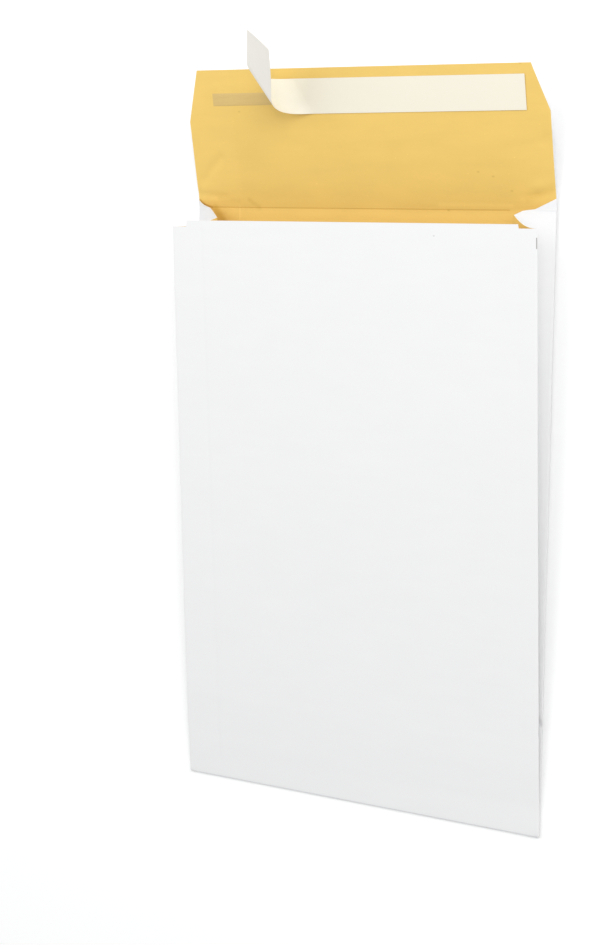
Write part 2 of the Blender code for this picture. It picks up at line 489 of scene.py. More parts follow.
@dataclass(frozen=True)
class Form:
    """The envelope's sizes, and the places that they give.

    Attributes:
        width: Across, from side fold to side fold.
        length: From the bottom fold to the flap's crease.
        mouth: From the bottom fold to the front panel's cut edge.
        opening: The front panel above the back panel at the mouth.
        gusset: Half of the side gusset.
        sheet: Thickness.
        fold: Radius of the sheet's middle in a fold pressed flat.
        belly: (along, height) that the front panel stands above a straight wedge.
        flap: Length of the flap.
        flap_low_tilt: The flap's slope at its crease.
        flap_high_tilt: Its slope at its top edge.
        plane_tilt: Slope of the straight line from the crease to the top edge.
        top_half: Half of its top edge.
        lean: How much lower the top edge lies than the flap's length, at its left and right corner.
        lean_from: Where up the flap that starts.
        start_half: Half of the flap's width at its lower corners.
        lift_run: Width of the strip along the side fold that has risen off the ground.
        right_sag: (along, height) that the front panel's right side lies below its left.
        edge_from: Where along the side folds start to draw in to the flap's start_half.
        inner_from: Where along the inner folds start to shift.
        slope_rounds: Rounds in which a gusset half's slope settles.
        throats: The cut at each side.
    """

    width: float = 0.229
    length: float = 0.324
    mouth: float = 0.317
    opening: float = 0.0237
    gusset: float = 0.023
    sheet: float = 0.00025
    fold: float = 0.0002
    belly: tuple[Pair, ...] = ((0, 0), (0.01864, 0.00055), (0.0466, 0.0010), (0.1, 0.00095), (0.317, 0))
    flap: float = 0.0768
    flap_low_tilt: float = math.radians(13.0)
    flap_high_tilt: float = math.radians(10.6)
    plane_tilt: float = math.radians(12.0)
    top_half: float = 0.1048
    lean: Pair = (0.0004, 0.0018)
    lean_from: float = 0.045
    start_half: dict[Side, float] = field(default_factory=lambda: {Side.RIGHT: 0.1142, Side.LEFT: 0.1128})
    lift_run: float = 0.035
    right_sag: tuple[Pair, ...] = (
        (0, 0), (0.015, 0.0009), (0.033, 0.0010), (0.05, 0.0014), (0.2, 0.0015), (0.3, 0.0019),
    )
    edge_from: float = 0.2
    inner_from: float = 0.1
    slope_rounds: int = 20
    throats: dict[Side, Throat] = field(
        default_factory=lambda: {
            Side.RIGHT: Throat(
                notch=0.0104,
                mouth=0.317,
                floor=0.3149,
                tip=0.3217,
                bow=2.3,
                back=((0, 0.3302), (0.5, 0.3247), (0.78, 0.3240), (1, 0.3217)),
                lift=(
                    (0, 0.0003), (0.06, 0.0008), (0.13, 0.0010), (0.2, 0.0011), (0.25, 0.0016),
                    (0.31, 0.0017), (0.324, 0.0016), (0.331, 0.0004), (0.36, 0),
                ),
                inner=-0.0018,
                kink=(0.051, 0.1143),
            ),
            Side.LEFT: Throat(
                notch=0.0095,
                mouth=0.3165,
                floor=0.3131,
                tip=0.3182,
                bow=2.3,
                back=(
                    (0, 0.3283), (0.15, 0.3262), (0.35, 0.3247), (0.62, 0.3236), (0.8, 0.3212), (1, 0.3182),
                ),
                lift=((0, 0.0003), (0.06, 0.0005), (0.3, 0.0005), (0.36, 0)),
                inner=0.0025,
                kink=(0.048, 0.1131),
            ),
        }
    )

    @property
    def flattened(self) -> float:
        """Front panel above the back panel where all layers lie flat."""
        return 6 * self.fold

    @property
    def panel_half(self) -> float:
        """Flat half-width of a panel, to the start of its side fold."""
        return self.width / 2 - self.sheet / 2 - self.fold

    @property
    def gusset_flat(self) -> float:
        """Flat part of a gusset half."""
        return self.gusset - 2 * self.fold

    def front_height(self, along: float, side: Side) -> float:
        """Returns the height of the front panel's side fold over the back panel, at a distance along."""
        straight = mix(self.flattened, self.opening, along / self.mouth)
        sag = read_curve(self.right_sag, along) if side is Side.RIGHT else 0.0
        return straight + read_curve(self.belly, along) - sag

    def back_at(self, x: float, along: float) -> float:
        """Returns how high the back panel, or the flap's lower end, has risen off the ground at a point."""
        side = Side.RIGHT if x > 0 else Side.LEFT
        share = max(abs(x) - self.panel_half + self.lift_run, 0.0) / self.lift_run
        return read_curve(self.throats[side].lift, along) * share * share

    def front_at(self, x: float, along: float) -> float:
        """Returns the height of the front panel's middle over the back panel's, at a point of it."""
        side = Side.RIGHT if x > 0 else Side.LEFT
        middle = sum(self.front_height(along, each) for each in Side) / 2
        return mix(middle, self.front_height(along, side), min(abs(x) / self.panel_half, 1.0))

    def leaned(self, x: float, up: float) -> float:
        """Returns how far up the slope a point of the flap lies, with its top edge's lean taken off."""
        share = (x + self.top_half) / (2 * self.top_half)
        return up - mix(*self.lean, share) * smooth(up, self.lean_from, self.flap)

    def gusset_slope(self, height: float) -> float:
        """Returns the slope of a gusset half from the panels, where the front panel is that high."""
        slope = 0.0
        for _ in range(self.slope_rounds):
            rise = height / 2 - self.fold - 2 * self.fold * math.cos(slope)
            slope = math.asin(max(rise, 0.0) / self.gusset_flat)
        return slope

    def flap_tilt(self, up: float) -> float:
        """Returns the flap's slope at a distance up from the crease."""
        return mix(self.flap_low_tilt, self.flap_high_tilt, up / self.flap)

    def flap_reach(self, up: float) -> Pair:
        """Returns how far on and how high the flap's bow has come at a distance up from the crease."""
        radius = self.flap / (self.flap_low_tilt - self.flap_high_tilt)
        tilt = self.flap_tilt(up)
        onward = radius * (math.sin(self.flap_low_tilt) - math.sin(tilt))
        return onward, radius * (math.cos(tilt) - math.cos(self.flap_low_tilt))

    def in_place(self, x: float, along: float, z: float) -> Vector:
        """Puts a point of the sheet's middle in its place.

        Args:
            x: Across.
            along: From the bottom fold, on over the crease and up the flap.
            z: Height over the back panel.

        Returns:
            The point in the object's frame.
        """
        onward, rise = self.flap_reach(self.leaned(x, max(along - self.length, 0.0)))
        return Vector((x, min(along, self.length) + onward - self.length / 2, self.sheet / 2 + z + rise))

    def on_flap(self, x: float, up: float, height: float = 0.0) -> Vector:
        """Returns a point over the flap's inner face, up its slope and height above the face."""
        tilt, lift = self.flap_tilt(up), self.sheet / 2 + height
        return self.in_place(x, self.length + up, 0.0) + lift * Vector((0, -math.sin(tilt), math.cos(tilt)))

    def flap_edge(self, side: Side, up: float) -> float:
        """Returns the distance of the flap's side edge from the middle, up from the crease."""
        throat = self.throats[side]
        kink, kink_half = throat.kink
        start = throat.back[0][1] - self.length
        if up < kink:
            return mix(self.start_half[side], kink_half, (up - start) / (kink - start))
        return mix(kink_half, self.top_half, (up - kink) / (self.flap - kink))


@dataclass(frozen=True)
class Dent:
    """A soft furrow or ridge pressed into the sheet.

    Attributes:
        part: The stretch of the sheet that it is in.
        start: One end: across, and along from the bottom fold. On a gusset, across is its share from the back
            fold to the front fold, with the side's sign.
        end: The other end.
        width: From its middle to where it has faded.
        depth: How far it stands out of the sheet's outer face, below 0 inwards.
    """

    part: Part
    start: Pair
    end: Pair
    width: float
    depth: float

    def relief(self, across: float, along: float, stretch: float = 1.0) -> float:
        """Reads the dent.

        Args:
            across: Across, as start and end give it.
            along: Along from the bottom fold.
            stretch: Metres to one unit of across.

        Returns:
            How far the sheet stands out there.
        """
        start, end = Vector(self.start), Vector(self.end)
        point = Vector((across * stretch, along))
        start.x, end.x = start.x * stretch, end.x * stretch
        run = end - start
        share = min(max((point - start).dot(run) / run.length_squared, 0.0), 1.0)
        away = (point - start - run * share).length
        return self.depth * math.exp(-((away / (0.6 * self.width)) ** 2))


# ------------------------------------------------------------------ making meshes


def make_object(name: str, builder: bmesh.types.BMesh, materials: Paints) -> bpy.types.Object:
    """Makes an object of a bmesh, which it frees.

    Args:
        name: The object's name.
        builder: The bmesh.
        materials: Its material slots.

    Returns:
        The new object.
    """
    mesh = bpy.data.meshes.new(name)
    builder.to_mesh(mesh)
    builder.free()
    for material in materials:
        mesh.materials.append(material)
    obj = bpy.data.objects.new(name, mesh)
    bpy.context.scene.collection.objects.link(obj)
    return obj


def bake_modifiers(obj: bpy.types.Object, materials: Paints, sharp: float) -> None:
    """Turns an object with modifiers into a plain mesh.

    Args:
        obj: The object, whose mesh is swapped for what its modifiers make.
        materials: The finished mesh's material slots.
        sharp: Angle in degrees from which an edge is shaded sharp.
    """
    depsgraph = bpy.context.evaluated_depsgraph_get()
    mesh = bpy.data.meshes.new_from_object(obj.evaluated_get(depsgraph), depsgraph=depsgraph)
    obj.modifiers.clear()
    raw, obj.data = obj.data, mesh
    bpy.data.meshes.remove(raw)
    mesh.name = obj.name
    for material in materials[len(mesh.materials):]:
        mesh.materials.append(material)
    mesh.shade_smooth()
    mesh.set_sharp_from_angle(angle=math.radians(sharp))


def add_tree(obj: bpy.types.Object, tree: Tree, values: dict) -> None:
    """Adds a Geometry Nodes modifier.

    Args:
        obj: The object that it goes on.
        tree: Its tree.
        values: Its inputs, by socket name.
    """
    modifier = obj.modifiers.new(tree.name, "NODES")
    modifier.node_group = tree
    for item in tree.interface.items_tree:
        if item.item_type == "SOCKET" and item.in_out == "INPUT" and item.name in values:
            modifier[item.identifier] = values[item.name]


def thicken(obj: bpy.types.Object, thickness: float) -> None:
    """Gives the open surface its thickness, half to each side, with the shells' material slots."""
    solidify = obj.modifiers.new("thickness", "SOLIDIFY")
    solidify.thickness = thickness
    solidify.offset = 0
    solidify.use_even_offset = True
    solidify.material_offset = Shell.INSIDE.value
    solidify.material_offset_rim = Shell.EDGE.value


def hand_over(obj: bpy.types.Object, node: str) -> None:
    """Lets the finished piece stand for its CAD node, and logs it.

    Args:
        obj: The finished piece.
        node: The CAD node that it replaces.
    """
    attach(obj, BODY)
    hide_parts(node)
    LOG.info("%s: %d faces", obj.name, len(obj.data.polygons))


# ------------------------------------------------------------------ the folded sheet


@dataclass
class FoldedSheet:
    """The one sheet of white and kraft paper: back panel, flap, two gussets, front panel and bottom fold.

    Attributes:
        form: The envelope's form.
        slope_run: Run of a notch's side across the panel.
        even_until: Below this distance from the bottom fold every column is cut into the same rows.
        crease_share: Share of the rows above it that stay below the flap's crease.
        waves: Height of the sheet's long waves.
        cockle: Height of its short waves.
        seed: Where in the noise its waves are read.
        fold_steps: Steps round a fold.
        gusset_steps: Steps over a gusset half.
        throat_rows: Rows from even_until to the cut.
        dense_from: From here to the side the panels' columns stand closer.
        columns: A panel's columns up to dense_from, on to the notch, and beside the notch.
        dense_until: Up to here from the bottom fold the rows stand closer.
        body_rows: Rows up to dense_until, and on to even_until.
        flap_rows: The flap's rows up to its kink, and on to its top edge.
        dents: What is pressed into it.
        push_layer: Holds how far the dents push each vertex.
        ease_layer: Holds how freely each vertex waves.
    """

    form: Form
    slope_run: float = 0.0003
    even_until: float = 0.300
    crease_share: float = 0.75
    waves: float = 0.00055
    cockle: float = 0.00007
    seed: float = 3.1
    fold_steps: int = 8
    gusset_steps: int = 10
    throat_rows: int = 16
    dense_from: float = 0.085
    columns: tuple[int, int, int] = (26, 14, 6)
    dense_until: float = 0.075
    body_rows: tuple[int, int] = (38, 66)
    flap_rows: tuple[int, int] = (30, 16)
    dents: tuple[Dent, ...] = (
        Dent(Part.FLAP, (-0.0949, 0.3518), (-0.1077, 0.3394), 0.0042, 0.00045),
        Dent(Part.FLAP, (-0.1125, 0.3318), (-0.0929, 0.3296), 0.0024, 0.00035),
        Dent(Part.FLAP, (-0.0987, 0.3287), (-0.0700, 0.3261), 0.0022, 0.00016),
        Dent(Part.FLAP, (0.0976, 0.3301), (0.1118, 0.3353), 0.0035, 0.0004),
        Dent(Part.FLAP, (0.1038, 0.3363), (0.1050, 0.3370), 0.0050, -0.0003),
        Dent(Part.FLAP, (0.1090, 0.3596), (0.1100, 0.3610), 0.0045, 0.0003),
        Dent(Part.FRONT, (-0.0925, 0.012), (-0.0935, 0.310), 0.0030, -0.00009),
        Dent(Part.FRONT, (0.1037, 0.020), (0.1037, 0.305), 0.0035, -0.00007),
        Dent(Part.GUSSET, (0.10, 0.0580), (0.40, 0.0640), 0.0030, -0.00025),
        Dent(Part.GUSSET, (0.90, 0.0560), (0.60, 0.0640), 0.0030, -0.00025),
    )
    push_layer: bmesh.types.BMLayerItem = field(init=False)
    ease_layer: bmesh.types.BMLayerItem = field(init=False)

    def across(self, side: Side) -> list[float]:
        """Returns the distances of a panel's columns from the middle, closer together towards the side."""
        notch = self.form.width / 2 - self.form.throats[side].notch
        wide, dense, last = self.columns
        inner = steps(0, self.dense_from, wide)
        inner += steps(self.dense_from, notch - self.slope_run, dense)[1:]
        return inner + steps(notch, self.form.panel_half, last)

    def turn(self, position: Vector, heading: float, angle: float) -> tuple[list[Vector], Vector, float]:
        """Runs the section round a fold.

        Args:
            position: Where the fold starts.
            heading: The section's direction there.
            angle: How far it turns.

        Returns:
            The fold's points, and the position and heading after it.
        """
        side = math.copysign(1, angle)
        centre = position + side * self.form.fold * Vector((-math.sin(heading), math.cos(heading)))
        points = []
        for part in steps(0, angle, self.fold_steps)[1:]:
            now = heading + part
            points.append(centre + side * self.form.fold * Vector((math.sin(now), -math.cos(now))))
        return points, points[-1], heading + angle

    def straight(self, position: Vector, heading: float) -> list[Vector]:
        """Runs the section over a gusset half and returns its points."""
        step = self.form.gusset_flat / self.gusset_steps * Vector((math.cos(heading), math.sin(heading)))
        return [position + step * (i + 1) for i in range(self.gusset_steps)]

    def half_section(self, side: Side, along: float) -> list[Vector]:
        """Works out the sheet's section on one side.

        Args:
            side: Which side; its X is counted outwards from the middle.
            along: Where, from the bottom fold.

        Returns:
            (x, z) of each column: back panel, gusset folded inwards, front panel.
        """
        across = self.across(side)
        points = [Vector((x, self.form.back_at(side.value * x, along))) for x in across]
        slope = self.form.gusset_slope(self.form.front_height(along, side) - points[-1].y)
        fold, position, heading = self.turn(points[-1], 0, math.pi - slope)
        points += fold
        points += self.straight(position, heading)
        fold, position, heading = self.turn(points[-1], heading, 2 * slope - math.pi)
        points += fold
        points += self.straight(position, heading)
        points += self.turn(points[-1], heading, math.pi - slope)[0]
        for number, point in enumerate(points):
            point.x -= self.pull(side, along, number - len(across))
        points += [Vector((x, self.form.front_at(side.value * x, along))) for x in reversed(across[:-1])]
        return points

    def pull(self, side: Side, along: float, column: int) -> float:
        """Works out how far a column of the gusset is pulled towards the middle.

        Args:
            side: Which side.
            along: Where, from the bottom fold.
            column: Its number in the gusset, below 0 on the back panel.

        Returns:
            The pull: to its side's start_half at the back fold near the flap, and by its inner at the inner
            fold.
        """
        throat = self.form.throats[side]
        end, half = throat.back[0][1], self.form.panel_half
        edge = (half - self.form.start_half[side]) * smooth(along, self.form.edge_from, end)
        inner = throat.inner * smooth(along, self.form.inner_from, self.form.length)
        fold, whole = self.fold_steps, self.gusset_steps
        if column < 0:
            panel = len(self.across(side))
            return edge * (column + panel) / (panel - 1)
        if column < fold:
            return edge
        if column < fold + whole:
            return mix(edge, inner, (column - fold + 1) / whole)
        if column < 2 * fold + whole:
            return inner
        return inner * max(1 - (column - 2 * fold - whole + 1) / whole, 0.0)

    def parts(self, side: Side) -> list[tuple[Part, float]]:
        """Names the part of each column of the half section.

        Args:
            side: Which side.

        Returns:
            The part, and where in it: across on a panel, and on a gusset the share from the back fold to the
            front fold.
        """
        across = self.across(side)
        gusset = 3 * self.fold_steps + 2 * self.gusset_steps
        named = [(Part.BACK, x) for x in across]
        named += [(Part.GUSSET, (i + 1) / (gusset + 1)) for i in range(gusset)]
        named += [(Part.FRONT, x) for x in reversed(across)]
        return named[: len(across) + gusset] + named[len(across) + gusset + 1:]

    def column_ends(self, side: Side) -> list[float]:
        """Returns how far up each column of the half section runs, to the throat's cut."""
        throat = self.form.throats[side]
        across = self.across(side)
        other = self.form.throats[Side.LEFT if side is Side.RIGHT else Side.RIGHT]
        middle = (throat.back[0][1] + other.back[0][1]) / 2
        half = self.form.panel_half
        ends = [mix(middle, throat.back[0][1], x / half) for x in across]
        ends += [throat.back[0][1]] * self.fold_steps
        ends += [read_curve(throat.back, share) for share in steps(0, 1, self.gusset_steps)[1:]]
        ends += [throat.tip] * self.fold_steps
        shares = steps(1, 0, self.gusset_steps)[1:]
        ends += [mix(throat.floor, throat.tip, share**throat.bow) for share in shares]
        ends += [throat.floor] * self.fold_steps
        notch = self.form.width / 2 - throat.notch
        mouth = (throat.mouth + other.mouth) / 2
        for x in reversed(across[:-1]):
            ends.append(throat.floor if x >= notch else mix(mouth, throat.mouth, x / notch))
        return ends

    def rows_along(self) -> list[float]:
        """Returns the even rows' distances from the bottom fold."""
        dense, wide = self.body_rows
        return steps(0, self.dense_until, dense) + steps(self.dense_until, self.even_until, wide)[1:]

    def throat_along(self, end: float, share: float) -> float:
        """Returns where a throat row crosses a column that runs up to end."""
        if end <= self.form.length:
            return mix(self.even_until, end, share)
        if share <= self.crease_share:
            return mix(self.even_until, self.form.length, share / self.crease_share)
        return mix(self.form.length, end, (share - self.crease_share) / (1 - self.crease_share))

    def ease(self, part: Part, across: float, along: float) -> float:
        """Returns how freely the sheet waves at a point, from 0 at a fold to 1 in the open."""
        if part is Part.FRONT:
            return smooth(self.form.panel_half - across, 0, 0.03) * smooth(along, 0, 0.05)
        if part is Part.FLAP:
            return 0.8 * smooth(along - self.form.length, 0.001, 0.02)
        if part is Part.GUSSET:
            middle = min(abs(across - 0.25), abs(across - 0.75))
            return 0.35 * smooth(0.25 - middle, 0.08, 0.2) * smooth(along, 0.01, 0.05)
        return 0.0

    def relief(self, part: Part, across: float, along: float) -> float:
        """Returns how far the dents push the sheet out of its outer face."""
        stretch = 2 * self.form.gusset if part is Part.GUSSET else 1.0
        return sum(dent.relief(across, along, stretch) for dent in self.dents if dent.part is part)

    def add_body(self, builder: bmesh.types.BMesh) -> dict[Side, list[Verts]]:
        """Adds the gusseted tube.

        Args:
            builder: The bmesh.

        Returns:
            Its rows at each side, from the bottom fold up to the throat.
        """
        made = {}
        for side in Side:
            rows, ends, parts = [], self.column_ends(side), self.parts(side)
            for along in self.rows_along():
                rows.append([(point, along) for point in self.half_section(side, along)])
            for share in steps(0, 1, self.throat_rows)[1:]:
                row = []
                for column, end in enumerate(ends):
                    along = self.throat_along(end, share)
                    row.append((self.half_section(side, along)[column], along))
                rows.append(row)
            made[side] = []
            for number, row in enumerate(rows):
                verts = []
                for column, (point, along) in enumerate(row):
                    if side is Side.LEFT and column in (0, len(row) - 1):
                        verts.append(made[Side.RIGHT][number][column])
                        continue
                    part, where = parts[column]
                    vert = builder.verts.new(self.form.in_place(side.value * point.x, along, point.y))
                    self.describe(vert, part, where, along, side)
                    verts.append(vert)
                made[side].append(verts)
        return made

    def describe(self, vert: bmesh.types.BMVert, part: Part, where: float, along: float, side: Side) -> None:
        """Notes on the vertex how far the dents push it and how freely it waves."""
        vert[self.push_layer] = self.relief(part, side.value * where, along)
        vert[self.ease_layer] = self.ease(part, where, along)

    def add_flap(self, builder: bmesh.types.BMesh, throat: dict[Side, Verts]) -> None:
        """Adds the flap.

        Args:
            builder: The bmesh.
            throat: The body's last row at each side.
        """
        lower, upper = self.flap_rows
        spine: Verts = []
        kink_mean = sum(throat.kink[0] for throat in self.form.throats.values()) / 2
        for side in Side:
            across = self.across(side)
            rows = [throat[side][: len(across)]]
            kink = self.form.throats[side].kink[0]
            starts = [end - self.form.length for end in self.column_ends(side)[: len(across)]]
            for number in range(1, lower + upper + 1):
                row = []
                for column, (x, start) in enumerate(zip(across, starts)):
                    if side is Side.LEFT and column == 0:
                        row.append(spine[number - 1])
                        continue
                    middle = mix(kink_mean, kink, x / across[-1])
                    if number <= lower:
                        up = mix(start, middle, number / lower)
                    else:
                        up = mix(middle, self.form.flap, (number - lower) / upper)
                    edge = mix(start, kink, number / lower) if number <= lower else up
                    wide = x * self.form.flap_edge(side, edge) / self.form.panel_half
                    along = self.form.length + up
                    raised = self.form.back_at(side.value * x, along)
                    vert = builder.verts.new(self.form.in_place(side.value * wide, along, raised))
                    self.describe(vert, Part.FLAP, wide, along, side)
                    row.append(vert)
                rows.append(row)
            spine = [row[0] for row in rows[1:]]
            self.loft(builder, rows, side)

    def add_bottom(self, builder: bmesh.types.BMesh, first: dict[Side, Verts]) -> None:
        """Adds the fold that joins the front panel's lower end to the back panel's.

        Args:
            builder: The bmesh.
            first: The body's first row at each side.
        """
        radius = self.form.flattened / 2
        angles = steps(0, math.pi, self.fold_steps)[1:-1]
        keel: Verts = []
        for side in Side:
            across = self.across(side)
            rows = [list(reversed(first[side][-len(across):]))]
            for number, angle in enumerate(angles):
                height, out = radius * (1 + math.cos(angle)), radius * math.sin(angle)
                row = []
                for column, x in enumerate(across):
                    if side is Side.LEFT and column == 0:
                        row.append(keel[number])
                        continue
                    rise = self.form.back_at(side.value * x, 0) * number / len(angles)
                    row.append(builder.verts.new(self.form.in_place(side.value * x, -out, height + rise)))
                rows.append(row)
            keel = [row[0] for row in rows[1:]]
            rows.append(first[side][: len(across)])
            self.loft(builder, rows, side)

    @staticmethod
    def loft(builder: bmesh.types.BMesh, rows: list[Verts], side: Side) -> None:
        """Adds quads between neighbouring rows, wound so that all face the same way out.

        Args:
            builder: The bmesh.
            rows: Rows of vertices of one length.
            side: The side that they are on.
        """
        for low, high in zip(rows, rows[1:]):
            for i in range(len(low) - 1):
                corners = (low[i], high[i], high[i + 1], low[i + 1])
                builder.faces.new(corners if side is Side.RIGHT else corners[::-1])

    def middle_surface(self) -> bmesh.types.BMesh:
        """Returns the sheet's middle surface, with its dents pressed in."""
        builder = bmesh.new()
        self.push_layer = builder.verts.layers.float.new("push")
        self.ease_layer = builder.verts.layers.float.new("ease")
        body = self.add_body(builder)
        for side in Side:
            self.loft(builder, body[side], side)
        self.add_flap(builder, {side: rows[-1] for side, rows in body.items()})
        self.add_bottom(builder, {side: rows[0] for side, rows in body.items()})
        builder.normal_update()
        for vert in builder.verts:
            vert.co += vert.normal * vert[self.push_layer]
        return builder

    def relief_tree(self) -> Tree:
        """Builds the tree that lets the sheet wave and cockle where it is free to, and returns it."""
        graph, given, result = new_group(
            "paper relief",
            "GeometryNodeTree",
            {
                "Sheet": "Geometry",
                "Wave Height": "Float",
                "Cockle Height": "Float",
                "Seed": "Float",
                "Finish": "Material",
            },
            {"Sheet": "Geometry"},
        )
        position = graph.node("GeometryNodeInputPosition").outputs[0]
        ease = graph.node("GeometryNodeInputNamedAttribute", {"data_type": "FLOAT"}, Name="ease").outputs[0]
        moved = graph.vector("ADD", position, graph.along_z(given["Seed"]))
        wave = graph.math("MULTIPLY", graph.noise(moved, 11.0, 1.0), given["Wave Height"])
        cockle = graph.math("MULTIPLY", graph.noise(moved, 95.0, 2.0), given["Cockle Height"])
        height = graph.math("MULTIPLY", graph.math("ADD", wave, cockle), ease)
        normal = graph.node("GeometryNodeInputNormal").outputs[0]
        offset = graph.scaled(normal, height)
        moved_sheet = graph.node("GeometryNodeSetPosition", Geometry=given["Sheet"], Offset=offset).outputs[0]
        graph.feed(result["Sheet"], graph.dressed(moved_sheet, given["Finish"]))
        return graph.tree

    def build(self, finishes: Paints) -> bpy.types.Object:
        """Builds the sheet.

        Args:
            finishes: Its materials in the order of Shell.

        Returns:
            The finished piece.
        """
        obj = make_object("paper_envelope", self.middle_surface(), finishes[:1])
        outside = finishes[Shell.OUTSIDE.value]
        values = {
            "Wave Height": self.waves,
            "Cockle Height": self.cockle,
            "Seed": self.seed,
            "Finish": outside,
        }
        add_tree(obj, self.relief_tree(), values)
        bake_modifiers(obj, finishes, 40)
        thicken(obj, self.form.sheet)
        bake_modifiers(obj, finishes, 40)
        for vert in obj.data.vertices:
            vert.co.x = min(max(vert.co.x, -self.form.width / 2), self.form.width / 2)
        hand_over(obj, "envelope_body")
        return obj


# ------------------------------------------------------------------ on the flap


@dataclass
class AdhesiveBand:
    """The band of adhesive along the flap, a film with thinned edges.

    Attributes:
        form: The envelope's form.
        length: Along the flap.
        low: Its lower edge, up from the crease.
        high: Its upper edge.
        thickness: In its middle.
        rise: Of its lower face over the flap.
        columns: Steps along it.
        rows: Steps across it.
        side_taper: Run over which it thins to its long edges.
        end_taper: Run over which it thins to its ends.
        rim: Share of its thickness that its rim keeps.
    """

    form: Form
    length: float = 0.191
    low: float = 0.0568
    high: float = 0.0638
    thickness: float = 0.00012
    rise: float = 0.00004
    columns: int = 120
    rows: int = 12
    side_taper: float = 0.0008
    end_taper: float = 0.0012
    rim: float = 0.25

    def build(self, finish: bpy.types.Material) -> bpy.types.Object:
        """Builds the band in its finish and returns it."""
        builder = bmesh.new()
        columns = steps(-self.length / 2, self.length / 2, self.columns)
        rows = steps(self.low, self.high, self.rows)
        shells = []
        for upper in (True, False):
            shell = []
            for up in rows:
                edge = min(up - self.low, self.high - up) / self.side_taper
                row = []
                for x in columns:
                    end = (self.length / 2 - abs(x)) / self.end_taper
                    full = min(edge, end, 1.0) ** 0.5
                    height = self.rise + (self.thickness * mix(self.rim, 1.0, full) if upper else 0.0)
                    row.append(builder.verts.new(self.form.on_flap(x, up, height)))
                shell.append(row)
            shells.append(shell)
        for upper, shell in zip((True, False), shells):
            for low, high in zip(shell, shell[1:]):
                for i in range(len(columns) - 1):
                    corners = (low[i], low[i + 1], high[i + 1], high[i])
                    builder.faces.new(corners if upper else corners[::-1])
        top, bottom = (self.outline(shell) for shell in shells)
        for i in range(len(top)):
            builder.faces.new((bottom[i - 1], bottom[i], top[i], top[i - 1]))
        obj = make_object("adhesive_band", builder, [finish])
        bake_modifiers(obj, [finish], 50)
        hand_over(obj, "flap_adhesive")
        return obj

    @staticmethod
    def outline(shell: list[Verts]) -> Verts:
        """Returns the vertices round a shell's rim, in order."""
        ends = [row[-1] for row in shell[1:]], [row[0] for row in reversed(shell[1:-1])]
        return shell[0] + ends[0] + shell[-1][-2::-1] + ends[1]


